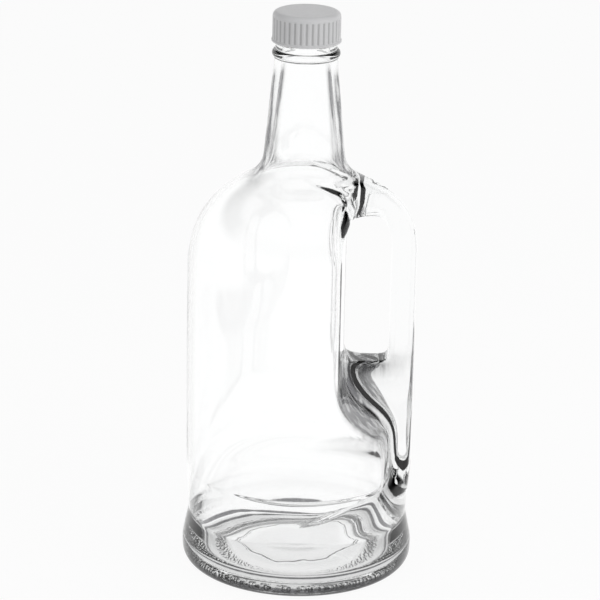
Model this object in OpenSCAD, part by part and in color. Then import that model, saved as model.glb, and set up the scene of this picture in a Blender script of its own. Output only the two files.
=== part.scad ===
// Large glass water jug with a handle formed inside the round of its body, closed by a ribbed screw cap.
// Millimetres. The origin is at the centre of the base, on the surface that the jug stands on. +Z is up, the
// handle is on the +X side and the jug is the same on both sides of the XZ plane, apart from its screw thread.

/* [Body] */
// Radius of the straight side of the body
body_r = 70.4; // [60:0.1:86]
// Height at which the line of the side would meet the line of the shoulder
shoulder_z = 234.2; // [200:0.1:285]
// Radius of the curve from the side into the shoulder
shoulder_fillet = 56; // [30:1:60]
// Slope of the shoulder above the level, in degrees
shoulder_slope = 24.2; // [20:0.1:30]
// Thickness of the glass wall
wall = 3.1; // [2.5:0.1:4.5]

/* [Base] */
// How far the heel stands out past the side of the body
heel_flare = 1.6; // [0:0.1:3]
// Radius of the curve under the heel
heel_fillet = 9; // [6:0.5:12]
// Height of the top of the heel
heel_z = 15; // [12:0.5:20]
// Depth of the waist above the heel, from the side of the body
waist_depth = 2.1; // [0.5:0.1:3]
// Height of the waist
waist_z = 33; // [28:0.5:40]
// Height at which the waist runs out into the side
side_z = 64; // [55:1:75]
// Thickness of the glass floor
floor_t = 6.5; // [5:0.1:10]
// Height that the underside is pushed up inside the ring that the jug stands on
push_up = 5; // [2:0.1:8]
// Inner radius of the ring that the jug stands on
ring_in_r = 54; // [45:0.5:56]

/* [Neck] */
// Radius of the neck where its line meets the line of the shoulder
neck_root_r = 25.6; // [23:0.1:30]
// Radius of the neck under the bead
neck_top_r = 19; // [18.7:0.1:20]
// Length of the neck from the line of the shoulder to the bead
neck_h = 70.6; // [55:0.1:86]
// Radius of the curve from the shoulder into the neck
neck_fillet = 17; // [14:1:32]
// Radius of the transfer bead under the cap
bead_r = 20.6; // [20:0.1:22]
// Height of the transfer bead
bead_h = 5; // [4:0.1:7]

/* [Finish] */
// Radius of the mouth's bore
mouth_r = 14.5; // [12:0.1:15]
// Depth of the straight part of the bore, below the lip
mouth_depth = 27; // [20:0.5:30]
// Height of the lip above the bead
finish_h = 20; // [19:0.1:24]
// Radius of the glass between the turns of the thread
root_r = 17.55; // [17.2:0.05:18]
// Radius and height of the smooth collar between the bead and the cap
collar_r = 18.6; // [18.2:0.1:18.7]
// Height of the collar
collar_h = 3.6; // [2:0.1:4]

/* [Thread] */
// Rise of the thread in one turn
thread_pitch = 4.233; // [4:0.001:4.5]
// How far the glass thread stands out of the finish
thread_depth = 1.2; // [1:0.05:1.4]
// Turns of thread on the glass, and in the cap
thread_turns = 1.25; // [1:0.05:1.5]
// Height of the start of the glass thread above the bead
thread_start = 9.6; // [9:0.1:11]
// Clearance between the cap and the glass at the thread, on the radius
thread_gap = 0.3; // [0.25:0.05:0.4]

/* [Handle] */
// Thickness of the strap, on the radius of the body
strap_t = 15.2; // [12:0.1:18]
// Width of the strap, across the handle
strap_w = 24; // [18:0.5:30]
// Width of the finger hole, from the wall of the body to the strap
grip_w = 28.2; // [24:0.1:33]
// Height of the bottom of the finger hole
grip_z = 133.5; // [125:0.5:140]
// Height of the finger hole
grip_h = 99; // [80:0.5:105]
// Depth of the recess below the finger hole, from the side of the body
rib_depth = 13.4; // [10:0.1:15]
// Height of the ledge under the finger hole, where it leaves the recessed wall
ledge_z = 111.8; // [105:0.1:116]
// Fall of the ledge, in degrees
ledge_slope = 30; // [20:1:35]
// Height at which the recess below the ledge starts to run out
run_out_z = 70; // [60:1:76]

/* [Cap] */
// Radius of the cap over its ribs
cap_r = 20.6; // [20.4:0.1:22]
// Height of the cap
cap_h = 18.3; // [17.8:0.1:19]
// Thickness of the top of the cap
cap_top_t = 1.5; // [1.2:0.1:2]
// Radius of the curve round the top of the cap
cap_fillet = 3.2; // [1:0.1:3.5]
// Number of grooves between the ribs
groove_count = 36; // [24:1:48]
// Depth of the grooves
groove_depth = 0.5; // [0.3:0.05:0.6]
// Radius of each groove
groove_r = 0.9; // [0.6:0.05:1]
// Plain band left above the rim, and below the curve round the top, at the ends of the grooves
groove_margin = 0.3; // [0.2:0.1:1]
// How far the rim stands out past the ribs
rim_flare = 0.5; // [0.2:0.1:0.8]
// Height of the rim
rim_h = 1.2; // [0.8:0.1:2]

/* [Liner] */
// Thickness of the sealing liner
liner_t = 1.5; // [1:0.1:2]
// Clearance round the edge of the liner, on the radius
liner_gap = 0.4; // [0.2:0.1:0.6]

/* [Hidden] */
$fn = 96;

// Largest angle between two neighbouring points of a drawn arc
arc_step = 7.5;
// Larger than any reach across the jug
far = 300;
// How far one solid reaches into another that it is joined to or cut from
sink = 0.4;

heel_r = body_r + heel_flare;
waist_r = body_r - waist_depth;
neck_root_z = shoulder_z + (body_r - neck_root_r) * tan(shoulder_slope);
bead_z = neck_root_z + neck_h;
bead_top_z = bead_z + bead_h;
lip_z = bead_top_z + finish_h;
lip_round = 1;
bead_round = 2.2;
collar_top_z = bead_top_z + collar_h;

strap_x = body_r - strap_t;
recess_x = strap_x - grip_w;
low_x = body_r - rib_depth;
grip_top_z = grip_z + grip_h;
ledge_end_z = ledge_z - (low_x - recess_x) * tan(ledge_slope);

thread_z = bead_top_z + thread_start;
thread_crest_r = root_r + thread_depth;
cap_bore_r = thread_crest_r + thread_gap;
cap_crest_r = root_r + thread_gap;
cap_top_z = lip_z + liner_t + cap_top_t;
cap_rim_z = cap_top_z - cap_h;
groove_z = cap_rim_z + rim_h + groove_margin;
groove_h = cap_top_z - cap_fillet - groove_margin - groove_z;
liner_r = cap_bore_r - liner_gap;

// ---- Outlines: a path is a list of corners, each [x, z, radius of its fillet] ----

function flat(corner) = [corner[0], corner[1]];
function unit(v) = v / norm(v);
function left_of(v) = [-v[1], v[0]];
function cross_z(a, b) = a[0] * b[1] - a[1] * b[0];

// Direction of the side of a path that leaves corner i, or of the last side at the last corner
function side_out(path, i) =
    i < len(path) - 1 ? unit(flat(path[i + 1]) - flat(path[i])) : unit(flat(path[i]) - flat(path[i - 1]));
function side_in(path, i) = i > 0 ? side_out(path, i - 1) : side_out(path, 0);

// Corner i of a path that is moved t to its left, with its fillet made tighter or wider to suit
function moved_corner(path, i, t) =
    let (a = left_of(side_in(path, i)), b = left_of(side_out(path, i)))
    let (turn = cross_z(a, b), place = flat(path[i]) + (a + b) * t / (1 + a * b))
    [place[0], place[1], max(0, path[i][2] - sign(turn) * t)];
function moved(path, t) = [for (i = [0 : len(path) - 1]) moved_corner(path, i, t)];

// Points of the arc that rounds corner b, between its neighbours a and c
function arc(a, b, c, r) =
    let (u = unit(a - b), v = unit(c - b), half = acos(u * v) / 2)
    let (centre = b + unit(u + v) * r / sin(half), from = b + u * r / tan(half) - centre)
    let (sweep = sign(cross_z(v, u)) * (180 - 2 * half), steps = ceil(abs(sweep) / arc_step))
    [for (k = [0 : steps]) centre + turned(from, sweep * k / steps)];
function turned(v, angle) = [v[0] * cos(angle) - v[1] * sin(angle), v[0] * sin(angle) + v[1] * cos(angle)];

// All the points of a path, with its fillets drawn as arcs
function drawn(path) = [
    for (i = [0 : len(path) - 1])
        let (sharp = i == 0 || i == len(path) - 1 || path[i][2] == 0)
        each sharp ? [flat(path[i])] : arc(flat(path[i - 1]), flat(path[i]), flat(path[i + 1]), path[i][2])
];

// Side of the body, from the waist up to the neck under the bead
side_path = [
    [waist_r, waist_z, 14],
    [body_r, side_z, 60],
    [body_r, shoulder_z, shoulder_fillet],
    [neck_root_r, neck_root_z, neck_fillet],
    [neck_top_r, bead_z, 0]
];

// Outside of the blank that the handle is formed from
outer_path = concat(
    [
        [0, push_up, 0],
        [ring_in_r - 1.6 * push_up, push_up, 8],
        [ring_in_r, 0, 3],
        [heel_r, 0, heel_fillet],
        [heel_r, heel_z, 12]
    ],
    side_path,
    [
        [bead_r, bead_z, bead_round],
        [bead_r, bead_top_z, bead_round],
        [collar_r, bead_top_z, 0],
        [collar_r, collar_top_z, 0],
        [root_r, collar_top_z + collar_r - root_r, 0],
        [root_r, lip_z, lip_round],
        [0, lip_z, 0]
    ]
);

// Inside of the jug before the recess is allowed for. The path runs up the side, so its left is the inside.
inner_side = moved(side_path, wall);
floor_z = push_up + floor_t;
floor_drop = 2.5;
inner_path = concat(
    [
        [0, floor_z, 0],
        [ring_in_r - push_up, floor_z - floor_drop, 30],
        [waist_r - wall, floor_z - floor_drop, 12]
    ],
    [for (i = [0 : len(inner_side) - 2]) inner_side[i]],
    [
        [mouth_r, lip_z - mouth_depth, 12],
        [mouth_r, lip_z + sink, 0],
        [0, lip_z + sink, 0]
    ]
);

// Wall of the recess behind the handle, from the neck down to the waist
recess_path = [
    [neck_root_r - 2, neck_root_z + 8, 0],
    [recess_x + 10, grip_top_z + 6.2, 3],
    [recess_x, grip_top_z - 4.8, 6],
    [recess_x, ledge_z, 40],
    [low_x, ledge_end_z, 12],
    [low_x, run_out_z, 25],
    [body_r + 2, waist_z, 0]
];

// ---- Shapes ----

// A solid of revolution from a path that starts and ends on the axis
module turned_solid(path) {
    rotate_extrude() polygon(drawn(path));
}

// Everything on the +X side of a path that runs down from the neck, across the given width
module beyond(path, width) {
    last = path[len(path) - 1];
    outline = concat(drawn(path), [[far, last[1]], [far, path[0][1]]]);
    rotate([90, 0, 0]) linear_extrude(height = width, center = true) polygon(outline);
}

// The upright slab that holds the strap, with its two outer edges rounded
module strap_slab() {
    edge = strap_w / 2;
    section = drawn([
        [0, -edge, 0],
        [body_r, -edge, 7],
        [body_r, edge, 7],
        [0, edge, 0]
    ]);
    linear_extrude(height = lip_z) polygon(section);
}

// The hole that the fingers go through, right across the jug
module finger_hole() {
    outline = drawn([
        [0, grip_z, 0],
        [strap_x, grip_z, 11],
        [strap_x, grip_top_z, 18],
        [0, grip_top_z, 0]
    ]);
    rotate([90, 0, 0]) linear_extrude(height = 2 * far, center = true) polygon(outline);
}

// The space inside the jug, one wall thickness in from the recess. The recess path runs down, so its right,
// at minus the wall, is the inside of the jug.
module cavity() {
    difference() {
        turned_solid(inner_path);
        beyond(moved(recess_path, -wall), 2 * far);
    }
}

// A helical ridge of right-hand thread, on a wall of radius r and standing depth out of it, or into the bore
// where depth is negative. It starts at height z and fades in and out over fade degrees.
module thread_ridge(r, depth, z) {
    fade = 40;
    root_w = 2.3;
    crest_w = 1;
    least = 0.1;
    degrees = 360 * thread_turns;
    rings = ceil(degrees / 10);
    foot_r = r - sign(depth) * sink;
    function rise(a) = max(least, min(1, a / fade, (degrees - a) / fade));
    function ring(a) =
        let (crest = r + depth * rise(a), mid = z + thread_pitch * a / 360)
        [for (p = [[foot_r, -root_w], [crest, -crest_w], [crest, crest_w], [foot_r, root_w]])
            [p[0] * cos(a), p[0] * sin(a), mid + p[1] / 2]];
    points = [for (k = [0 : rings]) each ring(degrees * k / rings)];
    last = 4 * rings;
    sides = [
        for (k = [0 : rings - 1], j = [0 : 3])
            let (here = 4 * k, next = (j + 1) % 4)
            [here + j, here + 4 + j, here + 4 + next, here + next]
    ];
    faces = concat([[0, 1, 2, 3]], sides, [[last + 3, last + 2, last + 1, last]]);
    faces_out = depth < 0 ? faces : [for (f = faces) [for (k = [len(f) - 1 : -1 : 0]) f[k]]];
    polyhedron(points, faces_out, convexity = 6);
}

// ---- Sub-parts ----

// The jug: one piece of blown glass, with its neck finish and its handle
module glass_jug() {
    color("lightcyan", 0.4) difference() {
        union() {
            turned_solid(outer_path);
            thread_ridge(root_r, thread_depth, thread_z);
        }
        difference() {
            beyond(recess_path, 2 * far);
            strap_slab();
        }
        intersection() {
            finger_hole();
            beyond(recess_path, 2 * far);
        }
        cavity();
    }
}

// The moulded cap, with ribs outside and a thread inside that runs half a pitch below the glass thread
module screw_cap() {
    skirt = [
        [0, cap_rim_z, 0],
        [cap_r + rim_flare, cap_rim_z, 0.4],
        [cap_r + rim_flare, cap_rim_z + rim_h, 0.4],
        [cap_r, cap_rim_z + rim_h, 0],
        [cap_r, cap_top_z, cap_fillet],
        [0, cap_top_z, 0]
    ];
    color("white") {
        difference() {
            turned_solid(skirt);
            translate([0, 0, cap_rim_z - sink])
                cylinder(r = cap_bore_r, h = lip_z + liner_t - cap_rim_z + sink);
            for (i = [0 : groove_count - 1])
                rotate([0, 0, 360 * i / groove_count])
                    translate([cap_r + groove_r - groove_depth, 0, groove_z])
                        cylinder(r = groove_r, h = groove_h);
        }
        thread_ridge(cap_bore_r, cap_crest_r - cap_bore_r, thread_z - thread_pitch / 2);
    }
}

// The foam disc that the cap presses on the lip
module cap_liner() {
    color("whitesmoke") translate([0, 0, lip_z]) cylinder(r = liner_r, h = liner_t);
}

glass_jug();
screw_cap();
cap_liner();
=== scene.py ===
"""Looks for a large clear glass water jug with an integral handle and a ribbed white screw cap.

Everything is in metres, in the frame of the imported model: the jug stands on z = 0 with its axis on Z, and
the handle is on the +X side.
"""

from dataclasses import dataclass
from enum import Enum
import logging
import math
from typing import Any, Callable, Optional, Sequence, Union

import bmesh
import bpy
from mathutils import Matrix, Vector


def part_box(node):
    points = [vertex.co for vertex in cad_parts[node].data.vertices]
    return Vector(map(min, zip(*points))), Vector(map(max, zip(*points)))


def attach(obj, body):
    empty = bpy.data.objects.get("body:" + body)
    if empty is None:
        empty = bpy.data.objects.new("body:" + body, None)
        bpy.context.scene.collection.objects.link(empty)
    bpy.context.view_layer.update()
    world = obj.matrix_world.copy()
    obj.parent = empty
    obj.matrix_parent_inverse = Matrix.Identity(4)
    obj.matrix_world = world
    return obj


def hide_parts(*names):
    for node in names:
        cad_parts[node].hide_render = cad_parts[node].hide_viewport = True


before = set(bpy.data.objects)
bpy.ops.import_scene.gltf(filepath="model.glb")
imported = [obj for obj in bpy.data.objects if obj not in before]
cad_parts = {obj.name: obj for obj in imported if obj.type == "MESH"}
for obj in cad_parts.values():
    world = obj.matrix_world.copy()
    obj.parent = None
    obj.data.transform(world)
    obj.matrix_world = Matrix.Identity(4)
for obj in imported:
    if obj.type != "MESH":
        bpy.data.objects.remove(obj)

log = logging.getLogger("jug")

MM = 0.001
# The vertex layer that holds painted shade for the glass's colour.
PAINTED_SHADE_LAYER = "painted_shade_layer"
Colour = tuple[float, float, float]


# --------------------------------------------------------------------------------------------------
# Outlines
# --------------------------------------------------------------------------------------------------


def smooth_step(value: float, low: float, high: float) -> float:
    """Ease from 0 at low to 1 at high.

    Args:
        value: The number to ease.
        low: Where the result is 0.
        high: Where the result is 1; it may be below low.

    Returns:
        A number from 0 to 1.
    """
    share = min(1.0, max(0.0, (value - low) / (high - low)))
    return share * share * (3.0 - 2.0 * share)


@dataclass(frozen=True)
class Corner:
    """A corner of an outline.

    Attributes:
        x: Distance from the jug's axis.
        z: Height.
        fillet: Radius of the arc that rounds the corner.
    """

    x: float
    z: float
    fillet: float = 0.0

    @property
    def place(self) -> Vector:
        """The corner as a 2-D vector."""
        return Vector((self.x, self.z))


class Outline:
    """A path of straight sides with filleted corners, in the plane of the axis and the handle."""

    def __init__(self, corners: Sequence[Corner]) -> None:
        """Keep the corners, in order.

        Args:
            corners: At least two corners.
        """
        self.corners = list(corners)

    def moved(self, distance: float) -> "Outline":
        """Offset the path to its left.

        Args:
            distance: How far; a negative number goes to the right.

        Returns:
            The offset outline, with its fillets made tighter or wider to suit.
        """
        made = []
        last = len(self.corners) - 1
        for i, corner in enumerate(self.corners):
            before = self.side(max(0, i - 1))
            after = self.side(min(i, last - 1))
            left_in = Vector((-before.y, before.x))
            left_out = Vector((-after.y, after.x))
            place = corner.place + (left_in + left_out) * distance / (1.0 + left_in.dot(left_out))
            turn = before.x * after.y - before.y * after.x
            fillet = max(0.0, corner.fillet - math.copysign(distance, distance * turn))
            fillet = fillet if corner.fillet else 0.0
            made.append(Corner(place.x, place.y, fillet))
        return Outline(made)

    def side(self, index: int) -> Vector:
        """Return the unit direction of the side that leaves corner index."""
        return (self.corners[index + 1].place - self.corners[index].place).normalized()

    def arc(self, index: int, step: float) -> list[Vector]:
        """Draw the arc that rounds one corner.

        Args:
            index: The corner's number.
            step: The largest angle between two points, in radians.

        Returns:
            The points of the arc.
        """
        corner = self.corners[index]
        back = -self.side(index - 1)
        ahead = self.side(index)
        half = back.angle(ahead) / 2.0
        centre = corner.place + (back + ahead).normalized() * corner.fillet / math.sin(half)
        start = corner.place + back * corner.fillet / math.tan(half) - centre
        sweep = math.copysign(math.pi - 2.0 * half, ahead.x * back.y - ahead.y * back.x)
        steps = max(2, math.ceil(abs(sweep) / step))
        return [centre + Matrix.Rotation(sweep * k / steps, 2) @ start for k in range(steps + 1)]

    def points(self, step: float, reach: float) -> list[Vector]:
        """Draw the whole outline.

        Args:
            step: The largest angle between two points of an arc, in radians.
            reach: The largest distance between two points of a straight side.

        Returns:
            The points, in order.
        """
        drawn: list[Vector] = []
        for i, corner in enumerate(self.corners):
            ends = i in (0, len(self.corners) - 1)
            piece = [corner.place] if ends or not corner.fillet else self.arc(i, step)
            if drawn:
                gap = piece[0] - drawn[-1]
                pieces = math.ceil(gap.length / reach - 1e-6)
                drawn += [drawn[-1] + gap * k / pieces for k in range(1, pieces)]
            drawn += piece
        return drawn


class Track:
    """A drawn outline that can be followed by height or by its share of the length."""

    def __init__(self, points: Sequence[Vector]) -> None:
        """Keep the points and the length up to each.

        Args:
            points: At least two points.
        """
        self.points = list(points)
        self.lengths = [0.0]
        for a, b in zip(self.points, self.points[1:]):
            self.lengths.append(self.lengths[-1] + (b - a).length)

    def at_share(self, share: float) -> Vector:
        """Return the point that lies at a share, from 0 to 1, of the length."""
        wanted = min(1.0, max(0.0, share)) * self.lengths[-1]
        for i in range(1, len(self.points)):
            if wanted <= self.lengths[i] + 1e-12:
                span = self.lengths[i] - self.lengths[i - 1]
                mix = (wanted - self.lengths[i - 1]) / span if span else 0.0
                return self.points[i - 1].lerp(self.points[i], mix)
        return self.points[-1]

    def at_height(self, height: float) -> Vector:
        """Return the point at a height, on a track that only rises or only falls."""
        for a, b in zip(self.points, self.points[1:]):
            low, high = (a, b) if a.y <= b.y else (b, a)
            if low.y <= height <= high.y:
                return low.lerp(high, (height - low.y) / max(1e-9, high.y - low.y))
        ends = sorted((self.points[0], self.points[-1]), key=lambda p: abs(p.y - height))
        return Vector((ends[0].x, height))


# --------------------------------------------------------------------------------------------------
# Shader maths
# --------------------------------------------------------------------------------------------------


class Ray(Enum):
    """The kinds of ray that a material can tell apart, by their names on the Light Path node."""

    CAMERA = "Is Camera Ray"
    GLOSSY = "Is Glossy Ray"
    TRANSMISSION = "Is Transmission Ray"
    SHADOW = "Is Shadow Ray"


class Tree:
    """Makes the nodes of one material or world."""

    def __init__(self, tree: bpy.types.NodeTree) -> None:
        """Empty the node tree and keep it."""
        self.tree = tree
        tree.nodes.clear()

    def node(self, kind: str, settings: Optional[dict[str, Any]] = None, **inputs: Any) -> bpy.types.Node:
        """Make any node.

        Args:
            kind: The node's type.
            settings: Its settings, which are set first.
            inputs: Values or links by socket name, with underscores for spaces, or by _N for socket N.

        Returns:
            The node.
        """
        made = self.tree.nodes.new(kind)
        for name, value in (settings or {}).items():
            setattr(made, name, value)
        for name, value in inputs.items():
            key: Union[int, str] = int(name[1:]) if name[0] == "_" else name.replace("_", " ")
            self.feed(made.inputs[key], value)
        return made

    def feed(self, socket: bpy.types.NodeSocket, value: Any) -> None:
        """Link or set one socket.

        Args:
            socket: The input socket.
            value: A Value, a socket, a number or a tuple.
        """
        if isinstance(value, Value):
            self.tree.links.new(value.socket, socket)
        elif isinstance(value, bpy.types.NodeSocket):
            self.tree.links.new(value, socket)
        elif isinstance(value, tuple) and len(value) == 3 and socket.type == "RGBA":
            socket.default_value = (*value, 1.0)
        else:
            socket.default_value = value

    def value(
        self, kind: str, output: Union[int, str], settings: Optional[dict[str, Any]] = None, **inputs: Any
    ) -> "Value":
        """Make a node and wrap one of its outputs.

        Args:
            kind: The node's type.
            output: The output's name or number.
            settings: As for node.
            inputs: As for node.

        Returns:
            The wrapped output.
        """
        return Value(self, self.node(kind, settings, **inputs).outputs[output])

    def object_place(self) -> "Value":
        """Return the shading point in the object's own coordinates."""
        return self.value("ShaderNodeTexCoord", "Object")

    def rays(self, *kinds: Ray) -> "Value":
        """Return 1 for a ray of one of the kinds, and 0 for any other."""
        path = self.node("ShaderNodeLightPath")
        first, *rest = [Value(self, path.outputs[kind.value]) for kind in kinds]
        return sum(rest, first).math("MINIMUM", 1.0)

    def noise(self, place: "Value", scale: float, detail: float = 2.0, roughness: float = 0.5) -> "Value":
        """Return a noise from 0 to 1 at a place.

        Args:
            place: The coordinates.
            scale: Features per metre.
            detail: Octaves.
            roughness: Strength of the finer octaves.

        Returns:
            The noise.
        """
        inputs = {"Vector": place, "Scale": scale, "Detail": detail, "Roughness": roughness}
        return self.value("ShaderNodeTexNoise", "Fac", **inputs)

    def ramp(
        self, value: "Value", low: float, high: float, start: float = 0.0, end: float = 1.0
    ) -> "Value":
        """Map a value smoothly from the range low..high to start..end.

        Args:
            value: What is mapped.
            low: Where the result is start.
            high: Where the result is end.
            start: The result at and below low.
            end: The result at and above high.

        Returns:
            The mapped value.
        """
        settings = {"interpolation_type": "SMOOTHSTEP"}
        inputs = {"_0": value, "_1": low, "_2": high, "_3": start, "_4": end}
        return self.value("ShaderNodeMapRange", 0, settings, **inputs)

    def band(self, value: "Value", rise: tuple[float, float], fall: tuple[float, float]) -> "Value":
        """Return 1 between two limits and 0 outside them.

        Args:
            value: What is tested.
            rise: Where the result leaves 0, and where it reaches 1.
            fall: Where the result leaves 1, and where it is back at 0.

        Returns:
            The mask.
        """
        return self.ramp(value, *rise) * self.ramp(value, *fall, 1.0, 0.0)

    def mix(self, factor: Any, first: Any, second: Any) -> "Value":
        """Mix two colours.

        Args:
            factor: 0 gives first and 1 gives second.
            first: A colour or a link.
            second: A colour or a link.

        Returns:
            The mixed colour.
        """
        made = self.node("ShaderNodeMix", {"data_type": "RGBA"})
        self.feed(made.inputs[0], factor)
        self.feed(made.inputs[6], first)
        self.feed(made.inputs[7], second)
        return Value(self, made.outputs[2])

    def bump(self, height: "Value", strength: float, distance: float) -> "Value":
        """Return a normal bumped by a height.

        Args:
            height: The height, from 0 to 1.
            strength: How strongly it shows.
            distance: The height of 1, in metres.

        Returns:
            The normal.
        """
        return self.value("ShaderNodeBump", "Normal", Height=height, Strength=strength, Distance=distance)


class Value:
    """A socket that carries a number or vector, with the operators of arithmetic."""

    def __init__(self, tree: Tree, socket: bpy.types.NodeSocket) -> None:
        """Keep the socket and the tree that it is in."""
        self.tree = tree
        self.socket = socket

    def math(self, operation: str, *others: Any) -> "Value":
        """Apply a Math node to this value.

        Args:
            operation: The Math node's operation.
            others: The other operands.

        Returns:
            The result.
        """
        inputs = {f"_{i + 1}": other for i, other in enumerate(others)}
        return self.tree.value("ShaderNodeMath", 0, {"operation": operation}, _0=self, **inputs)

    def _swapped(self, operation: str, other: float) -> "Value":
        """Apply a Math node with this value second."""
        return self.tree.value("ShaderNodeMath", 0, {"operation": operation}, _0=other, _1=self)

    def __add__(self, other: Any) -> "Value":
        """Add."""
        return self.math("ADD", other)

    def __sub__(self, other: Any) -> "Value":
        """Subtract."""
        return self.math("SUBTRACT", other)

    def __mul__(self, other: Any) -> "Value":
        """Multiply."""
        return self.math("MULTIPLY", other)

    def __rsub__(self, other: float) -> "Value":
        """Subtract this from a number."""
        return self._swapped("SUBTRACT", other)

    __radd__ = __add__
    __rmul__ = __mul__

    def axis(self, name: str) -> "Value":
        """Return one component, named X, Y or Z, of a vector."""
        return self.tree.value("ShaderNodeSeparateXYZ", name, Vector=self)

    def length(self) -> "Value":
        """Return the length of a vector."""
        return self.tree.value("ShaderNodeVectorMath", "Value", {"operation": "LENGTH"}, _0=self)

    def scaled(self, factors: tuple[float, float, float]) -> "Value":
        """Return a vector with each component multiplied by its own factor."""
        settings = {"operation": "MULTIPLY"}
        return self.tree.value("ShaderNodeVectorMath", "Vector", settings, _0=self, _1=factors)


# --------------------------------------------------------------------------------------------------
# Finishes
# --------------------------------------------------------------------------------------------------


class Finish:
    """A named material that is made once."""

    name = "finish"

    def shade(self, tree: Tree) -> bpy.types.NodeSocket:
        """Build the shader and return its output socket."""
        raise NotImplementedError

    def fill(self, tree: Tree) -> dict[str, bpy.types.NodeSocket]:
        """Return what fills the inside of the piece, as inputs of the output node; mostly there is none."""
        return {}

    def material(self) -> bpy.types.Material:
        """Return the material."""
        made = bpy.data.materials.new(self.name)
        made.use_nodes = True
        tree = Tree(made.node_tree)
        tree.node("ShaderNodeOutputMaterial", Surface=self.shade(tree), **self.fill(tree))
        return made


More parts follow.
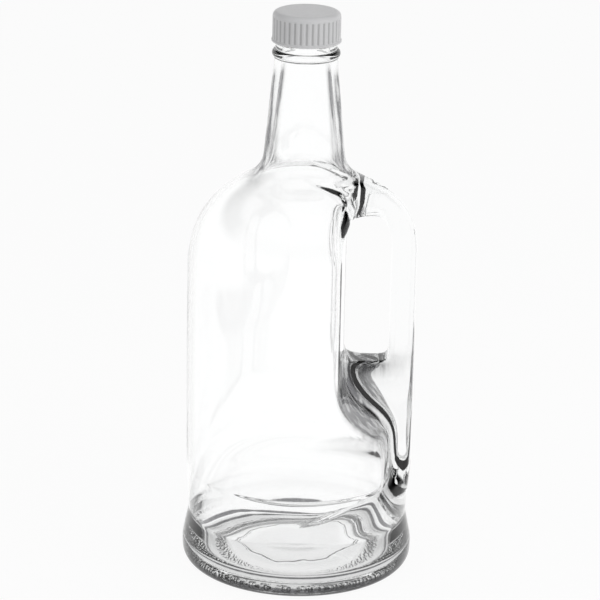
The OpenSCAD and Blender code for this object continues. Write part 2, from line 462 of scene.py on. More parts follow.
@dataclass(frozen=True)
class ClearGlass(Finish):
    """Clear blown glass, wavy from its mould and knurled under its base, with painted shade: dark streaks in
    its colour.

    Attributes:
        tint: What a surface of thin glass lets through.
        painted_shade_colour: The near-black painted into the glass's colour as painted shade.
        ior: Index of refraction.
        shadow_tint: What is left of the light of a lamp behind the glass.
        body_colour: Colour that the inside of the glass lets through.
        body_density: How strongly the inside absorbs, per metre.
        knurl_height: Height of the dots that the mould leaves round the base.
        waviness: Height of the mould's waves, as a share of knurl_height.
        knurl_in_r: Inner radius of the ring of dots.
        knurl_out_r: Outer radius of the ring of dots.
        seam_r: Mean radius of the wandering seam inside the ring of dots.
        seam_sway: How far the seam wanders, in all.
        base_z: Height up to which the underside's relief reaches.
        saddle_z: Height of the bottom of the finger hole, above which the painted shade from the vertex layer
            fades out.
        neck_low_z: Height at which the painted dark edges of the neck start.
        neck_high_z: Height at which they end.
        heel_r: Radius of the heel, inside which its painted dark edges end.
        heel_z: Height of the heel.
    """

    name = "blown_clear_glass"
    tint: Colour = (0.996, 0.998, 0.998)
    painted_shade_colour: Colour = (0.03, 0.03, 0.033)
    ior: float = 1.52
    shadow_tint: Colour = (0.93, 0.94, 0.94)
    body_colour: Colour = (0.1, 0.13, 0.12)
    body_density: float = 2.5
    knurl_height: float = 0.5 * MM
    waviness: float = 0.2
    knurl_in_r: float = 47.5 * MM
    knurl_out_r: float = 57.0 * MM
    seam_r: float = 38.3 * MM
    seam_sway: float = 12.0 * MM
    base_z: float = 6.0 * MM
    saddle_z: float = 129.0 * MM
    neck_low_z: float = 246.0 * MM
    neck_high_z: float = 322.0 * MM
    heel_r: float = 66.0 * MM
    heel_z: float = 19.0 * MM

    def relief(self, tree: Tree, place: Value, radius: Value) -> Value:
        """Return the height of the mould's waves and of the marks under the base.

        Args:
            tree: The tree to build in.
            place: The shading point.
            radius: Its distance from the axis.

        Returns:
            The height, where 1 is knurl_height.
        """
        streaks = tree.noise(place.scaled((60.0, 60.0, 14.0)), 1.0, 3.0)
        waves = tree.noise(place.scaled((26.0, 26.0, 12.0)), 1.0, 1.0)
        blown = waves * 0.8 + streaks * 0.2
        low = tree.ramp(place.axis("Z"), self.base_z, self.base_z + 1.5 * MM, 1.0, 0.0)
        ring = tree.band(
            radius,
            (self.knurl_in_r, self.knurl_in_r + 2.0 * MM),
            (self.knurl_out_r - 2.0 * MM, self.knurl_out_r),
        )
        dots = tree.value("ShaderNodeTexVoronoi", "Distance", Vector=place, Scale=520.0)
        knurl = tree.ramp(dots, 0.15, 0.75, 1.0, 0.0) * ring * low
        wander = radius + (tree.noise(place, 55.0, 2.0) - 0.5) * self.seam_sway
        seam = tree.band(
            wander,
            (self.seam_r - 1.3 * MM, self.seam_r - 0.3 * MM),
            (self.seam_r + 0.3 * MM, self.seam_r + 1.3 * MM),
        )
        return blown * self.waviness + knurl + seam * low

    def depth(self, tree: Tree, place: Value, radius: Value) -> Value:
        """Return how much painted shade darkens the glass's colour, at the saddle, recess, neck's edges and
        heel.

        Args:
            tree: The tree to build in.
            place: The shading point.
            radius: Its distance from the axis.

        Returns:
            A number from 0, no painted shade, to 1.
        """
        # Painted shade: a vertex layer, a facing term and height bands darken the glass, with noise streaks
        # through it.
        height = place.axis("Z")
        grazing = tree.value("ShaderNodeLayerWeight", "Facing", Blend=0.5)
        marks = tree.noise(place.scaled((170.0, 170.0, 28.0)), 1.0, 3.0, 0.6)
        marks = tree.ramp(marks, 0.36, 0.62)
        layer_shade = tree.value("ShaderNodeAttribute", "Fac", {"attribute_name": PAINTED_SHADE_LAYER})
        layer_shade = layer_shade * tree.ramp(height, self.saddle_z, self.saddle_z + 13.0 * MM, 1.0, 0.0)
        neck = tree.band(
            height,
            (self.neck_low_z, self.neck_low_z + 12.0 * MM),
            (self.neck_high_z - 10.0 * MM, self.neck_high_z),
        )
        edge = tree.ramp(grazing, 0.36, 0.62) * neck
        curve = tree.ramp(height, self.heel_z - 7.0 * MM, self.heel_z, 1.0, 0.0)
        curve = curve * tree.ramp(grazing, 0.4, 0.65)
        lens = tree.band(height, (3.8 * MM, 4.8 * MM), (7.4 * MM, 8.8 * MM))
        foot = tree.ramp(height, 1.2 * MM, 2.0 * MM, 1.0, 0.0)
        heel = tree.ramp(radius, self.heel_r - 2.5 * MM, self.heel_r)
        heel = heel * (curve + lens + foot).math("MINIMUM", 1.0)
        painted_dark = layer_shade * (0.75 + 0.5 * marks) + edge * (0.4 + 0.9 * marks) + heel * (0.95 + 0.4 * marks)
        return painted_dark.math("MINIMUM", 1.0)

    def shade(self, tree: Tree) -> bpy.types.NodeSocket:
        """Build glass that lets the lamps through.

        Args:
            tree: The tree to build in.

        Returns:
            The shader's output.
        """
        place = tree.object_place()
        radius = place.scaled((1.0, 1.0, 0.0)).length()
        # The glass's colour is mixed towards near-black by the painted shade that depth returns.
        glass = tree.node(
            "ShaderNodeBsdfPrincipled",
            Base_Color=tree.mix(self.depth(tree, place, radius), self.tint, self.painted_shade_colour),
            Roughness=0.0,
            IOR=self.ior,
            Transmission_Weight=1.0,
            Normal=tree.bump(self.relief(tree, place, radius), 1.0, self.knurl_height),
        )
        through = tree.node("ShaderNodeBsdfTransparent", Color=self.shadow_tint)
        shadow = tree.rays(Ray.SHADOW)
        mixed = tree.node("ShaderNodeMixShader", _0=shadow, _1=glass.outputs[0], _2=through.outputs[0])
        return mixed.outputs[0]

    def fill(self, tree: Tree) -> dict[str, bpy.types.NodeSocket]:
        """Return the faint absorption that makes glass darker where light crosses more of it."""
        body = tree.node(
            "ShaderNodeVolumeAbsorption", Color=self.body_colour, Density=self.body_density
        )
        return {"Volume": body.outputs[0]}


@dataclass(frozen=True)
class MouldedPlastic(Finish):
    """Satin white moulded plastic, a little translucent, with fine flow marks and painted shade in its grip
    grooves.

    Attributes:
        colour: The plastic's colour.
        shade_colour: The slightly darker colour of its cloudy patches.
        groove_shade_colour: The darker colour painted at the bottom of the grip grooves: painted shade.
        groove_r: Distance of the bottom of a groove from the axis.
        rib_r: Distance of the top of a rib from the axis.
        skirt_top_z: Height at which the grooves end.
        roughness: Mean roughness.
    """

    name = "moulded_satin_plastic"
    colour: Colour = (0.61, 0.61, 0.615)
    shade_colour: Colour = (0.56, 0.56, 0.57)
    groove_shade_colour: Colour = (0.4, 0.4, 0.405)
    groove_r: float = 20.1 * MM
    rib_r: float = 20.55 * MM
    skirt_top_z: float = 349.8 * MM
    roughness: float = 0.36

    def shade(self, tree: Tree) -> bpy.types.NodeSocket:
        """Build the plastic.

        Args:
            tree: The tree to build in.

        Returns:
            The shader's output.
        """
        place = tree.object_place()
        cloudy = tree.mix(tree.noise(place, 90.0, 3.0), self.shade_colour, self.colour)
        grain = tree.noise(place, 2600.0, 2.0)
        scuffs = tree.noise(place.scaled((900.0, 900.0, 120.0)), 1.0, 2.0)
        # Painted shade: the bottoms of the grip grooves are darkened.
        radius = place.scaled((1.0, 1.0, 0.0)).length()
        skirt = (self.groove_r - 0.5 * MM, self.groove_r - 0.2 * MM)
        sunk = tree.band(radius, skirt, (self.groove_r, self.rib_r))
        below = (self.skirt_top_z - 0.8 * MM, self.skirt_top_z)
        sunk = sunk * tree.ramp(place.axis("Z"), *below, 1.0, 0.0)
        plastic = tree.node(
            "ShaderNodeBsdfPrincipled",
            Base_Color=tree.mix(sunk, cloudy, self.groove_shade_colour),
            Roughness=tree.ramp(scuffs, 0.35, 0.75, self.roughness - 0.05, self.roughness + 0.08),
            IOR=1.49,
            Subsurface_Weight=0.12,
            Subsurface_Radius=(1.0, 1.0, 1.0),
            Subsurface_Scale=1.2 * MM,
            Normal=tree.bump(grain, 0.25, 0.03 * MM),
        )
        return plastic.outputs[0]


@dataclass(frozen=True)
class LinerFoam(Finish):
    """Closed-cell foam with a fine pebbled skin.

    Attributes:
        colour: The foam's colour.
        hollow_shade_colour: The darker colour painted in the hollows between its cells: painted shade.
    """

    name = "closed_cell_foam"
    colour: Colour = (0.82, 0.82, 0.8)
    hollow_shade_colour: Colour = (0.66, 0.66, 0.64)

    def shade(self, tree: Tree) -> bpy.types.NodeSocket:
        """Build the foam.

        Args:
            tree: The tree to build in.

        Returns:
            The shader's output.
        """
        # Painted shade: the hollows between the cells are darkened.
        cells = tree.value("ShaderNodeTexVoronoi", "Distance", Vector=tree.object_place(), Scale=1500.0)
        foam = tree.node(
            "ShaderNodeBsdfPrincipled",
            Base_Color=tree.mix(tree.ramp(cells, 0.2, 0.7), self.colour, self.hollow_shade_colour),
            Roughness=0.85,
            Normal=tree.bump(1.0 - cells, 0.5, 0.12 * MM),
        )
        return foam.outputs[0]


# --------------------------------------------------------------------------------------------------
# Meshes
# --------------------------------------------------------------------------------------------------


def full_spin(bm: bmesh.types.BMesh, points: Sequence[Vector], columns: int) -> None:
    """Spin an outline once round the Z axis, and number its rows in the layer "row".

    Args:
        bm: The mesh to build in.
        points: The outline's points, distance from the axis and height.
        columns: Steps round the axis.
    """
    row = bm.verts.layers.int.new("row")
    chain = []
    for i, point in enumerate(points):
        vert = bm.verts.new((point.x, 0.0, point.y))
        vert[row] = i
        chain.append(vert)
    edges = [bm.edges.new(pair) for pair in zip(chain, chain[1:])]
    bmesh.ops.spin(
        bm,
        geom=chain + edges,
        cent=(0.0, 0.0, 0.0),
        axis=(0.0, 0.0, 1.0),
        dvec=(0.0, 0.0, 0.0),
        angle=math.tau,
        steps=columns,
        use_merge=True,
        use_duplicate=False,
    )
    bmesh.ops.remove_doubles(bm, verts=bm.verts, dist=1e-7)


def column_of(place: Vector, columns: int) -> int:
    """Return which column of a spun mesh a vertex is in, counted from +X towards +Y."""
    return round(math.atan2(place.y, place.x) / math.tau * columns) % columns


def finished(name: str, bm: bmesh.types.BMesh, finish: Finish, subdivisions: int = 0) -> bpy.types.Object:
    """Turn a bmesh into a smooth object with its material.

    Args:
        name: The piece's name.
        bm: The mesh, which is freed.
        finish: The piece's finish.
        subdivisions: Levels of subdivision surface, applied.

    Returns:
        The object, at the origin.
    """
    bmesh.ops.recalc_face_normals(bm, faces=bm.faces)
    mesh = bpy.data.meshes.new(name)
    bm.to_mesh(mesh)
    bm.free()
    piece = bpy.data.objects.new(name, mesh)
    bpy.context.scene.collection.objects.link(piece)
    if subdivisions:
        modifier = piece.modifiers.new("round", "SUBSURF")
        modifier.levels = subdivisions
        modifier.render_levels = subdivisions
        modifier.use_limit_surface = False
        graph = bpy.context.evaluated_depsgraph_get()
        graph.update()
        rounded = bpy.data.meshes.new_from_object(piece.evaluated_get(graph))
        piece.modifiers.clear()
        piece.data = rounded
        bpy.data.meshes.remove(mesh)
        rounded.name = name
    piece.data.shade_smooth()
    piece.data.materials.clear()
    piece.data.materials.append(finish.material())
    return piece


def reshape(piece: bpy.types.Object, move: Callable[[Vector], Vector]) -> None:
    """Move every vertex of a finished piece.

    Args:
        piece: The object.
        move: Gives each vertex's new place from its old one.
    """
    for vert in piece.data.vertices:
        vert.co = move(vert.co.copy())
    piece.data.update()


@dataclass(frozen=True)
class Thread:
    """A right-hand helical ridge.

    Attributes:
        radius: Radius of the wall that it stands on; not used.
        depth: How far it stands out, or into a bore where it is negative.
        start: Height of its start, at the +X side.
        pitch: Rise in one turn.
        turns: Its length in turns.
        width: Its width at half its depth.
    """

    radius: float
    depth: float
    start: float
    pitch: float = 4.233 * MM
    turns: float = 1.25
    width: float = 1.65 * MM

    def lift(self, place: Vector) -> float:
        """Return how far the ridge moves a point of the wall away from the axis."""
        angle = math.atan2(place.y, place.x) % math.tau / math.tau
        best = 0.0
        for lap in range(math.ceil(self.turns)):
            turn = angle + lap
            if turn > self.turns:
                continue
            off = abs(place.z - self.start - self.pitch * turn)
            shape = 1.0 - smooth_step(off, 0.28 * self.width, 0.72 * self.width)
            ends = smooth_step(turn, 0.0, 0.1) * smooth_step(turn, self.turns, self.turns - 0.1)
            best = max(best, shape * ends)
        return best * self.depth


# --------------------------------------------------------------------------------------------------
# The jug
# --------------------------------------------------------------------------------------------------


@dataclass(frozen=True)
class Station:
    """One row of the jug's spun mesh.

    Attributes:
        place: Distance from the axis, and height, on the side of the body.
        foot: Where the wall of the recess is at this row.
        sunk: How far the recess is in force, from 0 to 1.
        inner: Whether the row is on the inside of the glass.
    """

    place: Vector
    foot: Vector
    sunk: float
    inner: bool


@dataclass
class GlassJug:
    """The jug: body, pushed-up base, neck, bead, screw finish and handle, in one piece of glass.

    The spun mesh has its columns gathered round the handle. From the middle of the strap, two columns are on
    its back, three go down its side, one is at the foot of the rib, four cross the wall of the recess and one
    is at the recess's edge. The rest go round the body.

    Attributes:
        recess_wall: Thickness of the glass behind the recess.
        recess_bow: How far the middle of the recess's wall stands out past its edges.
        neck_extra: How much thicker the neck's root is than the wall.
        inner_heel: Radius of the curve from the inside of the wall into the floor.
        strap_half: Half the width of the strap.
        strap_crown: How far the strap's back stands proud of the shoulder where it bends over.
        rib_flare: How much wider the rib behind the strap is at its foot, on each side.
        columns: Steps of the spun mesh round the axis.
        across: Places of the columns on the recess's wall, as shares of the way from the rib to the edge.
    """

    lip_z: float
    heel_r: float
    body_r: float = 70.4 * MM
    waist_r: float = 68.3 * MM
    waist_z: float = 33.0 * MM
    side_z: float = 64.0 * MM
    shoulder_z: float = 234.2 * MM
    shoulder_fillet: float = 56.0 * MM
    shoulder_slope: float = 24.2
    wall: float = 3.1 * MM
    recess_wall: float = 2.2 * MM
    recess_bow: float = 4.0 * MM
    neck_extra: float = 0.3 * MM
    inner_heel: float = 11 * MM
    neck_root_r: float = 25.6 * MM
    neck_top_r: float = 19.0 * MM
    neck_fillet: float = 17.0 * MM
    bead_r: float = 20.6 * MM
    bead_h: float = 5.0 * MM
    finish_h: float = 20.0 * MM
    root_r: float = 17.55 * MM
    collar_r: float = 18.6 * MM
    collar_h: float = 3.6 * MM
    mouth_r: float = 14.5 * MM
    mouth_depth: float = 27.0 * MM
    thread_start: float = 9.6 * MM
    thread_depth: float = 1.2 * MM
    strap_t: float = 15.2 * MM
    strap_half: float = 12.0 * MM
    strap_crown: float = 3.8 * MM
    rib_flare: float = 3.0 * MM
    grip_w: float = 28.2 * MM
    grip_z: float = 133.5 * MM
    grip_h: float = 99.0 * MM
    rib_depth: float = 13.4 * MM
    ledge_z: float = 111.8 * MM
    ledge_slope: float = 30.0
    run_out_z: float = 70.0 * MM
    floor_t: float = 5.0 * MM
    push_up: float = 5.0 * MM
    ring_in_r: float = 54.0 * MM
    columns: int = 38
    across: tuple[float, ...] = (0.14, 0.36, 0.6, 0.82)
    finish: Finish = ClearGlass()

    def side(self) -> Outline:
        """Return the outside of the body from its waist to the bead."""
        slope = math.tan(math.radians(self.shoulder_slope))
        root_z = self.shoulder_z + (self.body_r - self.neck_root_r) * slope
        return Outline(
            [
                Corner(self.waist_r, self.waist_z, 14 * MM),
                Corner(self.body_r, self.side_z, 60 * MM),
                Corner(self.body_r, self.grip_z),
                Corner(self.body_r, self.shoulder_z, self.shoulder_fillet),
                Corner(self.neck_root_r, root_z, self.neck_fillet),
                Corner(self.neck_top_r, self.bead_z),
            ]
        )

    @property
    def bead_top_z(self) -> float:
        """Height of the top of the bead."""
        return self.lip_z - self.finish_h

    @property
    def bead_z(self) -> float:
        """Height of the bottom of the bead."""
        return self.bead_top_z - self.bead_h

    @property
    def recess_x(self) -> float:
        """Distance of the recess's wall from the axis, behind the finger hole."""
        return self.body_r - self.strap_t - self.grip_w

    @property
    def turn_z(self) -> float:
        """Height at which the body starts to turn into the shoulder."""
        half_turn = math.radians((90.0 - self.shoulder_slope) / 2.0)
        return self.shoulder_z - self.shoulder_fillet * math.tan(half_turn)

    def outside(self) -> Outline:
        """Return the outline from the middle of the underside to the lip."""
        heel = [
            Corner(0.0, self.push_up),
            Corner(self.ring_in_r - 1.6 * self.push_up, self.push_up, 8 * MM),
            Corner(self.ring_in_r, 0.0, 3 * MM),
            Corner(self.heel_r, 0.0, 9 * MM),
            Corner(self.heel_r, 15 * MM, 12 * MM),
        ]
        neck = [
            Corner(self.neck_top_r, self.bead_z, 0.6 * MM),
            Corner(self.bead_r, self.bead_z, 2.2 * MM),
            Corner(self.bead_r, self.bead_top_z, 2.2 * MM),
            Corner(self.collar_r, self.bead_top_z, 0.6 * MM),
            Corner(self.collar_r, self.bead_top_z + self.collar_h, 0.5 * MM),
            Corner(self.root_r, self.bead_top_z + self.collar_h + 1 * MM, 0.5 * MM),
            Corner(self.root_r, self.lip_z, 1.2 * MM),
            Corner(self.mouth_r, self.lip_z, 1.2 * MM),
        ]
        return Outline(heel + self.side().corners[:-1] + neck)

    def inside(self) -> Outline:
        """Return the outline of the cavity from the mouth down to the middle of the floor."""
        side = self.side().moved(self.wall)
        root = side.corners[-2]
        root_fillet = self.neck_fillet + self.wall + self.neck_extra
        side.corners[-2] = Corner(root.x - self.neck_extra, root.z, root_fillet)
        side.corners[0] = Corner(side.corners[1].x - 0.7 * MM, side.corners[0].z, 14 * MM)
        floor_z = self.push_up + self.floor_t
        edge_z = floor_z - 2.5 * MM
        return Outline(
            [
                Corner(self.mouth_r, self.lip_z - 1.5 * MM),
                Corner(self.mouth_r, self.lip_z - self.mouth_depth, 12 * MM),
            ]
            + list(reversed(side.corners[:-1]))
            + [
                Corner(side.corners[0].x - 0.5 * MM, edge_z, self.inner_heel),
                Corner(self.ring_in_r - 18 * MM, edge_z, 30 * MM),
                Corner(0.0, floor_z),
            ]
        )

    def recess(self) -> Outline:
        """Return the wall of the recess behind the handle, from the neck down to the waist."""
        grip_top = self.grip_z + self.grip_h
        low_x = self.body_r - self.rib_depth
        drop = (low_x - self.recess_x) * math.tan(math.radians(self.ledge_slope))
        slope = math.tan(math.radians(self.shoulder_slope))
        root_z = self.shoulder_z + (self.body_r - self.neck_root_r) * slope
        return Outline(
            [
                Corner(self.neck_root_r - 2 * MM, root_z + 8 * MM),
                Corner(self.recess_x + 10 * MM, grip_top + 6.2 * MM, 3 * MM),
                Corner(self.recess_x, grip_top - 4.8 * MM, 6 * MM),
                Corner(self.recess_x, self.ledge_z, 40 * MM),
                Corner(low_x, self.ledge_z - drop, 12 * MM),
                Corner(low_x, self.run_out_z, 25 * MM),
                Corner(self.body_r + 2 * MM, self.waist_z),
            ]
        )

    def stations(self) -> list[Station]:
        """Lay out the rows: up the outside, over the lip and down the inside."""
        step = math.radians(17.0)
        rows: list[Station] = []
        for inner in (False, True):
            outline = self.inside() if inner else self.outside()
            recess = self.recess().moved(-self.recess_wall) if inner else self.recess()
            drawn = outline.points(step, 10.5 * MM)
            turn_z = self.turn_z
            root_z = self.recess().corners[0].z
            wall = recess.points(math.radians(9.0), 4 * MM)
            lower = Track([p for p in wall if p.y <= turn_z])
            upper = Track([Vector((self.recess_x - (self.recess_wall if inner else 0.0), turn_z))]
                          + [p for p in reversed(wall) if p.y > turn_z])
            bends = [p for p in drawn if turn_z - 1e-6 <= p.y <= root_z]
            shoulder = [p for p in bends if p.x > self.mouth_r + 1 * MM]
            run = Track(sorted(shoulder, key=lambda p: p.y))
            for place in drawn:
                rows.append(self.station(place, lower, upper, run, inner))
        return rows

    def station(self, place: Vector, lower: Track, upper: Track, run: Track, inner: bool) -> Station:
        """Work out one row.

        Args:
            place: The row's place on the side of the body.
            lower: The recess's wall below the shoulder.
            upper: The recess's wall from the shoulder to the neck.
            run: The side of the body over the same stretch as upper.
            inner: Whether the row is on the inside.

        Returns:
            The row.
        """
        if place.y <= run.points[0].y:
            foot = lower.at_height(place.y)
            sunk = smooth_step(place.y, 44 * MM, 68 * MM)
        else:
            steps = zip(run.points, run.points[1:])
            reached = sum((b - a).length for a, b in steps if b.y <= place.y + 1e-9)
            share = reached / run.lengths[-1]
            foot = upper.at_share(share)
            sunk = 1.0 - smooth_step(share, 0.62, 0.97)
        return Station(place, foot, sunk if place.x > self.mouth_r + 1 * MM else 0.0, inner)

    def placed(self, row: Station, column: int) -> Vector:
        """Return where a vertex goes.

        Args:
            row: Its row.
            column: Its column, from 0 at the handle to half the columns at the back.

        Returns:
            Its place, on the +Y side.
        """
        half = self.columns // 2
        edge = 6 + len(self.across)
        plain = math.pi * column / half
        radius = row.place.x
        foot_x = min(row.foot.x, radius - 0.5 * MM)
        edge_x = foot_x - self.recess_bow
        chord = math.sqrt(max(radius**2 - edge_x**2, (1.5 * self.strap_half) ** 2))
        corner = math.atan2(chord, edge_x)
        if column >= edge:
            gathered = corner + (column - edge) * (math.pi - corner) / (half - edge)
            angle = plain + (gathered - plain) * row.sunk
            return Vector((radius * math.cos(angle), radius * math.sin(angle), row.place.y))
        if row.inner:
            share = column / edge
            target = Vector((foot_x - self.recess_bow * share**2, chord * share, row.foot.y))
        else:
            target = self.strap_place(row, column, foot_x, chord)
        start = Vector((radius * math.cos(plain), radius * math.sin(plain), row.place.y))
        return start.lerp(target, row.sunk)

    def strap_place(self, row: Station, column: int, foot_x: float, chord: float) -> Vector:
        """Return where an outer vertex goes on the strap, its side or the recess's wall.

        Args:
            row: Its row.
            column: Its column.
            foot_x: The recess's wall at this row.
            chord: Half the width of the recess's wall.

        Returns:
            Its place, on the +Y side, where the recess is in full force.
        """
        side = self.strap_half
        crown = self.crowned(row.place)
        radius = crown.x
        crest = math.sqrt(radius**2 - min(side, 0.6 * radius) ** 2)
        foot = Vector((foot_x, row.foot.y))
        edge = Vector((crest - 1.5 * MM, crown.y))
        depth = max(1e-6, (edge - foot).length)
        inner_edge = min(0.5, (self.strap_t - 2.0 * MM) / depth)
        if column == 0:
            return Vector((radius, 0.0, crown.y))
        if column == 1:
            near = 0.6 * side
            return Vector((math.sqrt(radius**2 - near**2), near, crown.y))
        root = side + self.rib_flare
        if column <= 5:
            share, width = (
                (0.0, side - 0.8 * MM),
                (inner_edge, side),
                ((1.0 + inner_edge) / 2.0, side + 0.1 * self.rib_flare),
                (1.0, root),
            )[column - 2]
            place = edge.lerp(foot, share)
            return Vector((place.x, width, place.y))
        share = self.across[column - 6]
        wide = root + (chord - root) * share
        return Vector((foot_x - self.recess_bow * (wide / chord) ** 2, wide, row.foot.y))

    def crowned(self, place: Vector) -> Vector:
        """Return a place on the strap's back, which stands proud of the body where it bends over.

        Args:
            place: The place on the side of the body.

        Returns:
            The place on the strap.
        """
        centre = Vector((self.body_r - self.shoulder_fillet, self.turn_z))
        rise = smooth_step(place.y, 198 * MM, 222 * MM) * smooth_step(place.y, 250 * MM, 232 * MM)
        return place + (place - centre).normalized() * self.strap_crown * rise

    def cage(self) -> bmesh.types.BMesh:
        """Build the mesh that is subdivided into the glass."""
        rows = self.stations()
        bm = bmesh.new()
        full_spin(bm, [r.place for r in rows], self.columns)
        layer = bm.verts.layers.int["row"]
        grip = bm.verts.layers.int.new("grip")
        painted_shade_layer = bm.verts.layers.float.new(PAINTED_SHADE_LAYER)
        tight = (2.0 + math.cos(math.tau / self.columns)) / 3.0
        for vert in bm.verts:
            row = rows[vert[layer]]
            if row.place.x == 0.0:
                continue
            column = column_of(vert.co, self.columns)
            mirrored = column > self.columns // 2
            near = self.columns - column if mirrored else column
            place = self.placed(row, near)
            vert.co = Vector((place.x / tight, (-1.0 if mirrored else 1.0) * place.y / tight, place.z))
            level = self.grip_z - 0.1 * MM <= row.place.y <= self.shoulder_z + 4.5 * MM
            vert[grip] = int(level and not row.inner and 3 <= near <= 5)
            # Painted shade, stored per vertex for the glass's colour.
            vert[painted_shade_layer] = self.painted_shade_at(row, near)
        self.open_grip(bm, grip)
        return bm

    def painted_shade_at(self, row: Station, column: int) -> float:
        """Return how much painted shade a place gets, at the foot of the rib, on the recess's wall and at the
        saddle.

        Args:
            row: Its row.
            column: Its column.

        Returns:
            A number from 0, a plain wall, to 1.
        """
        # Painted shade at the foot of the rib, on the recess's wall and at the saddle, by height and column.
        height = row.place.y
        foot = smooth_step(height, 46 * MM, 54 * MM) * smooth_step(height, 140 * MM, 132 * MM)
        if row.inner:
            return 0.25 * foot * row.sunk if column < 9 else 0.0
        ledge = 0.4 + 0.6 * smooth_step(height, 88 * MM, 104 * MM)
        if 5 <= column <= 9:
            return ledge * foot * row.sunk
        saddle = smooth_step(height, 122 * MM, 131 * MM) * smooth_step(height, 141 * MM, 136 * MM)
        return {3: 0.7, 4: 1.3}.get(column, 0.0) * saddle

    def open_grip(self, bm: bmesh.types.BMesh, grip: bmesh.types.BMLayerItem) -> None:
        """Cut the finger hole through the sides of the rib behind the strap.

        Args:
            bm: The shaped mesh.
            grip: The vertex layer that is 1 on and inside the hole's rim.
        """
        cut = [f for f in bm.faces if all(v[grip] for v in f.verts)]
        bmesh.ops.delete(bm, geom=cut, context="FACES")
        rims = [e for e in bm.edges if e.is_boundary]
        joined = bmesh.ops.bridge_loops(bm, edges=rims)
        across = [e for e in joined["edges"] if abs(e.verts[0].co.y - e.verts[1].co.y) > self.strap_half]
        bmesh.ops.subdivide_edges(bm, edges=across, cuts=2, use_grid_fill=True)

    def build(self) -> bpy.types.Object:
        """Make the finished piece."""
        piece = finished("glass_jug_blown", self.cage(), self.finish, subdivisions=2)
        reshape(piece, self.touched_up)
        return piece

    def touched_up(self, place: Vector) -> Vector:
        """Raise the screw thread on the finish.

        Args:
            place: A vertex of the subdivided glass.

        Returns:
            Its final place.
        """
        radius = math.hypot(place.x, place.y)
        if radius < 1e-6:
            return place
        thread = Thread(self.root_r, self.thread_depth, self.bead_top_z + self.thread_start)
        if place.z > self.bead_top_z + self.collar_h + 0.8 * MM and radius > self.root_r - 0.5 * MM:
            grown = (radius + thread.lift(place)) / radius
            return Vector((place.x * grown, place.y * grown, place.z))
        return place


@dataclass
class ScrewCap:
    """The moulded cap, with grip ribs outside and a thread inside."""

    top_z: float
    rim_z: float
    rim_r: float
    cap_r: float = 20.6 * MM
    bore_r: float = 19.05 * MM
    top_t: float = 1.5 * MM
    fillet: float = 3.2 * MM
    rim_h: float = 1.2 * MM
    grooves: int = 36
    groove_depth: float = 0.5 * MM
    columns_per_groove: int = 8
    thread_start: float = 337.4 * MM
    thread_depth: float = 1.2 * MM
    finish: Finish = MouldedPlastic()

    def outline(self) -> Outline:
        """Return the cap's wall, from the middle of its top, down the outside and up the bore."""
        ceiling = self.top_z - self.top_t
        return Outline(
            [
                Corner(0.0, self.top_z),
                Corner(self.cap_r, self.top_z, self.fillet),
                Corner(self.cap_r, self.rim_z + self.rim_h, 0.25 * MM),
                Corner(self.rim_r, self.rim_z + self.rim_h, 0.35 * MM),
                Corner(self.rim_r, self.rim_z, 0.4 * MM),
                Corner(self.bore_r, self.rim_z, 0.3 * MM),
                Corner(self.bore_r, ceiling, 0.3 * MM),
                Corner(0.0, ceiling),
            ]
        )

    def build(self) -> bpy.types.Object:
        """Make the finished piece."""
        bm = bmesh.new()
        drawn = self.outline().points(math.radians(12.0), 0.45 * MM)
        full_spin(bm, drawn, self.grooves * self.columns_per_groove)
        piece = finished("screw_cap_moulded", bm, self.finish)
        reshape(piece, self.ribbed)
        return piece

    def ribbed(self, place: Vector) -> Vector:
        """Press the grooves into the skirt and raise the thread in the bore.

        Args:
            place: A vertex of the plain cap.

        Returns:
            Its final place.
        """
        radius = math.hypot(place.x, place.y)
        if radius < 1e-6:
            return place
        move = 0.0
        if radius > self.cap_r - 0.6 * self.fillet and place.z > self.rim_z + self.rim_h:
            turn = math.atan2(place.y, place.x) / math.tau * self.grooves
            across = abs((turn + 0.5) % 1.0 - 0.5) * 2.0
            foot_z = self.rim_z + self.rim_h
            low = smooth_step(place.z, foot_z + 0.1 * MM, foot_z + 0.9 * MM)
            head_z = self.top_z - self.fillet
            high = smooth_step(place.z, head_z + 0.5 * MM, head_z - 0.5 * MM)
            move = -self.groove_depth * (1.0 - smooth_step(across, 0.08, 0.62)) * low * high
        elif abs(radius - self.bore_r) < 0.05 * MM and place.z < self.top_z - self.top_t - 1 * MM:
            thread = Thread(self.bore_r, -self.thread_depth, self.thread_start)
            move = thread.lift(place)
        grown = (radius + move) / radius
        return Vector((place.x * grown, place.y * grown, place.z))


@dataclass
class CapLiner:
    """The foam disc that seals the cap on the lip, with the ring that the lip has pressed into it."""

    low_z: float
    high_z: float
    radius: float
    lip_r: float = 16.0 * MM
    finish: Finish = LinerFoam()

    def build(self) -> bpy.types.Object:
        """Make the finished piece."""
        edge = 0.3 * MM
        outline = Outline(
            [
                Corner(0.0, self.high_z),
                Corner(self.radius, self.high_z, edge),
                Corner(self.radius, self.low_z, edge),
                Corner(self.lip_r + 2.4 * MM, self.low_z, 0.1 * MM),
                Corner(self.lip_r + 1.9 * MM, self.low_z + 0.08 * MM, 0.1 * MM),
                Corner(self.lip_r - 1.9 * MM, self.low_z + 0.08 * MM, 0.1 * MM),
                Corner(self.lip_r - 2.4 * MM, self.low_z, 0.1 * MM),
                Corner(0.0, self.low_z),
            ]
        )
        bm = bmesh.new()
        full_spin(bm, outline.points(math.radians(20.0), 2 * MM), 96)
        return finished("cap_liner_foam", bm, self.finish)


# --------------------------------------------------------------------------------------------------
# The studio
# --------------------------------------------------------------------------------------------------


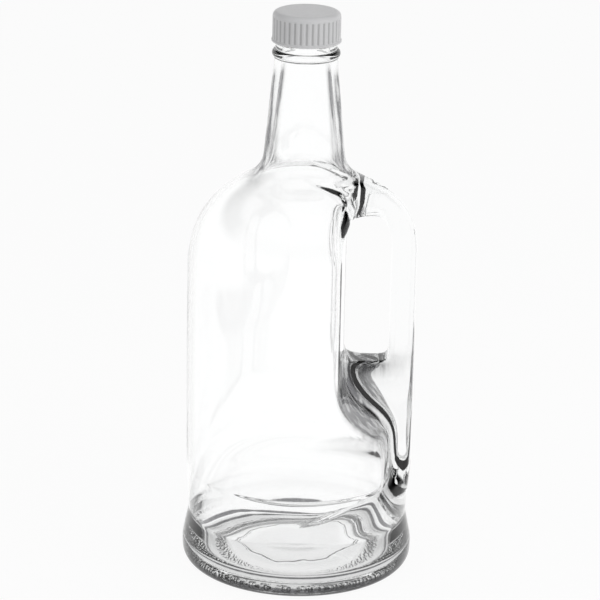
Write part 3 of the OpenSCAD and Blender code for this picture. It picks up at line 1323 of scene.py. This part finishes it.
@dataclass
class Studio:
    """Pale floor with a painted shadow under the jug, white surroundings, soft lamps and the camera.

    Attributes:
        camera_back: Distance of the camera from the axis, along -Y.
        camera_height: Height of the camera.
        pitch: How far it looks down, in degrees.
        yaw: How far it looks to its right, in degrees.
        roll: How far it is rolled, in degrees.
        lens: Its focal length, in millimetres.
        floor_side: Side of the square floor.
        floor_glow: Share of the floor that is plain white; the rest shows the jug's shadow.
        sky: Brightness of the surroundings below the dark ceiling, in gloss and glass.
        ambient: Brightness of the surroundings on matt surfaces.
    """

    camera_back: float = 1.7434
    camera_height: float = 0.7675
    pitch: float = 18.909
    yaw: float = -0.0228
    roll: float = 1.182
    lens: float = 179.3
    floor_side: float = 12.0
    floor_glow: float = 0.92
    sky: float = 1.05
    ambient: float = 0.55

    def camera(self) -> None:
        """Make the camera."""
        data = bpy.data.cameras.new("camera")
        data.lens = self.lens
        data.sensor_width = 36.0
        data.clip_end = 50.0
        made = bpy.data.objects.new("camera", data)
        bpy.context.scene.collection.objects.link(made)
        down, side, roll = (math.radians(a) for a in (self.pitch, self.yaw, self.roll))
        turn = Matrix.Rotation(-side, 4, "Z") @ Matrix.Rotation(math.pi / 2 - down, 4, "X")
        place = Matrix.Translation((0.0, -self.camera_back, self.camera_height))
        made.matrix_world = place @ turn @ Matrix.Rotation(roll, 4, "Z")
        bpy.context.scene.camera = made

    def floor(self) -> None:
        """Make the pale floor, with a painted shadow under the jug that only glass and gloss show."""
        bm = bmesh.new()
        bmesh.ops.create_grid(bm, x_segments=1, y_segments=1, size=self.floor_side / 2.0)
        mesh = bpy.data.meshes.new("floor")
        bm.to_mesh(mesh)
        bm.free()
        made = bpy.data.objects.new("floor", mesh)
        bpy.context.scene.collection.objects.link(made)
        material = bpy.data.materials.new("floor")
        material.use_nodes = True
        tree = Tree(material.node_tree)
        seen = tree.rays(Ray.CAMERA, Ray.GLOSSY, Ray.TRANSMISSION)
        bent = tree.rays(Ray.GLOSSY, Ray.TRANSMISSION)
        lit = tree.node("ShaderNodeBsdfDiffuse", Color=(0.9, 0.9, 0.9))
        radius = tree.object_place().length()
        # Painted shadow, seen only through glass or in gloss: a dark ring round the jug's foot and a slightly
        # darker disc under it.
        painted_contact_shadow = tree.band(radius, (45 * MM, 54 * MM), (69 * MM, 76 * MM)) * 0.3
        under = tree.ramp(radius, 46 * MM, 52 * MM, 0.12, 0.0)
        bright = 1.0 - bent * (painted_contact_shadow + under - 0.06)
        glow = tree.node("ShaderNodeEmission", Color=(1.0, 1.0, 1.0), Strength=bright)
        share = seen * self.floor_glow
        mixed = tree.node("ShaderNodeMixShader", _0=share, _1=lit.outputs[0], _2=glow.outputs[0])
        tree.node("ShaderNodeOutputMaterial", Surface=mixed.outputs[0])
        made.data.materials.append(material)

    @staticmethod
    def rise(degrees: float) -> float:
        """Return the Z of a direction that climbs at an angle."""
        return math.sin(math.radians(degrees))

    def world(self) -> None:
        """Make white surroundings with a dark ceiling that only glass and gloss show."""
        world = bpy.data.worlds.new("studio")
        bpy.context.scene.world = world
        world.use_nodes = True
        tree = Tree(world.node_tree)
        way = tree.value("ShaderNodeTexCoord", "Generated")
        climb = way.axis("Z")
        high = tree.ramp(climb, self.rise(18.0), self.rise(30.0))
        lift = tree.ramp(climb, self.rise(38.0), self.rise(48.0), 1.0, 0.35)
        low = tree.ramp(climb, self.rise(66.0), self.rise(80.0), 1.0, 0.3)
        behind = tree.ramp(way.axis("Y"), -0.25, 0.2, 0.2, 1.0)
        bright = self.sky - self.sky * high * lift * low * behind
        bent = tree.rays(Ray.GLOSSY, Ray.TRANSMISSION)
        seen = tree.rays(Ray.CAMERA)
        strength = seen + (1.0 - seen) * (bent * bright + (1.0 - bent) * self.ambient)
        back = tree.node("ShaderNodeBackground", Color=(1.0, 1.0, 1.0), Strength=strength)
        tree.node("ShaderNodeOutputWorld", Surface=back.outputs[0])

    def lamp(self, name: str, place: Vector, size: float, watts: float) -> None:
        """Make one soft square lamp that faces the jug.

        Args:
            name: The lamp's name.
            place: Where it hangs.
            size: Its side.
            watts: Its power.
        """
        data = bpy.data.lights.new(name, "AREA")
        data.shape = "SQUARE"
        data.size = size
        data.energy = watts
        made = bpy.data.objects.new(name, data)
        bpy.context.scene.collection.objects.link(made)
        made.location = place
        made.rotation_euler = (Vector((0.0, 0.0, 0.2)) - place).to_track_quat("-Z", "Y").to_euler()
        made.visible_camera = False
        made.visible_glossy = False
        made.visible_transmission = False

    def build(self) -> None:
        """Make the whole studio."""
        self.camera()
        self.floor()
        self.world()
        self.lamp("key", Vector((1.3, -0.9, 1.1)), 0.8, 12.0)
        self.lamp("fill", Vector((-1.2, -1.2, 0.9)), 1.0, 4.0)
        bpy.context.scene.view_settings.view_transform = "Standard"


def main() -> None:
    """Build the pieces and the studio."""
    logging.basicConfig(level=logging.INFO, format="%(message)s")
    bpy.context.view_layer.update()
    jug_low, jug_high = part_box("glass_jug")
    cap_low, cap_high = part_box("screw_cap")
    liner_low, liner_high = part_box("cap_liner")

    jug = GlassJug(lip_z=jug_high.z, heel_r=-jug_low.x).build()
    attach(jug, "jug")
    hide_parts("glass_jug")

    cap = ScrewCap(top_z=cap_high.z, rim_z=cap_low.z, rim_r=cap_high.x).build()
    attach(cap, "cap")
    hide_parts("screw_cap")

    liner = CapLiner(low_z=liner_low.z, high_z=liner_high.z, radius=liner_high.x).build()
    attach(liner, "liner")
    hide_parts("cap_liner")

    for piece in (jug, cap, liner):
        log.info("%s: %d faces", piece.name, len(piece.data.polygons))
    Studio().build()


if __name__ == "__main__":
    main()
